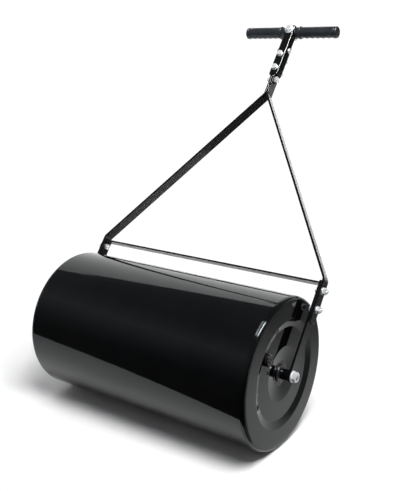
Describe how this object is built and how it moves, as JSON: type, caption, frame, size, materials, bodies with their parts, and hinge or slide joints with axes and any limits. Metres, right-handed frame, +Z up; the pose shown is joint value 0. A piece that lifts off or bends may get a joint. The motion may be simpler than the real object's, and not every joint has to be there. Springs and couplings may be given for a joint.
{
  "type": "lawn roller",
  "caption": "Garden lawn roller: hollow ballast drum turning on a through axle, flat-steel triangular frame leaning back to a T-handle with moulded grips, screw filler plug in one end.",
  "frame": {"origin": "on the ground, straight below the middle of the axle", "axes": "+Z up; X along the axle with the filler plug at the +X end; the handle leans back towards +Y"},
  "size_m": [0.6318, 0.6954, 0.85],
  "materials": {
    "black_paint": "gloss",
    "zinc_plate": "bright zinc",
    "axle_steel": "drawn bar",
    "grip_plastic": "satin",
    "bearing_plastic": "satin",
    "plug_plastic": "satin gloss",
    "seal_rubber": "matte"
  },
  "bodies": {
    "frame": {"axle_rod": "axle_steel", "axle_spacer_left": "black_paint", "axle_spacer_right": "black_paint", "axle_washers": "zinc_plate", "axle_nuts": "zinc_plate", "lower_arm_left": "black_paint", "lower_arm_right": "black_paint", "upper_bar_left": "black_paint", "upper_bar_right": "black_paint", "crossbar": "black_paint", "crossbar_welds": "black_paint", "arm_bolts": "zinc_plate", "arm_washers": "zinc_plate", "arm_nuts": "zinc_plate", "handle_bracket": "black_paint", "front_bolts": "zinc_plate", "front_washers": "zinc_plate", "front_nuts": "zinc_plate", "side_bolt": "zinc_plate", "side_washer": "zinc_plate", "side_nut": "zinc_plate", "column_bolt": "zinc_plate", "column_nut": "zinc_plate", "handle_tube": "black_paint", "handle_saddle": "black_paint", "handle_bolt": "zinc_plate", "handle_washers": "zinc_plate", "handle_nut": "zinc_plate", "grip_left": "grip_plastic", "grip_right": "grip_plastic"},
    "drum": {"drum_shell": "black_paint", "end_disc_left": "black_paint", "end_disc_right": "black_paint", "axle_tube": "black_paint", "bush_left": "bearing_plastic", "bush_right": "bearing_plastic", "filler_neck": "black_paint"},
    "filler_plug": {"filler_plug": "plug_plastic", "filler_seal": "seal_rubber"}
  },
  "joints": [
    {"name": "drum_spin", "type": "hinge", "parent": "frame", "child": "drum", "pos_m": [0, 0, 0.16], "axis": [1, 0, 0], "continuous": true},
    {"name": "plug_out", "type": "slide", "parent": "drum", "child": "filler_plug", "axis": [1, 0, 0], "range_m": [0, 0.0075]}
  ]
}
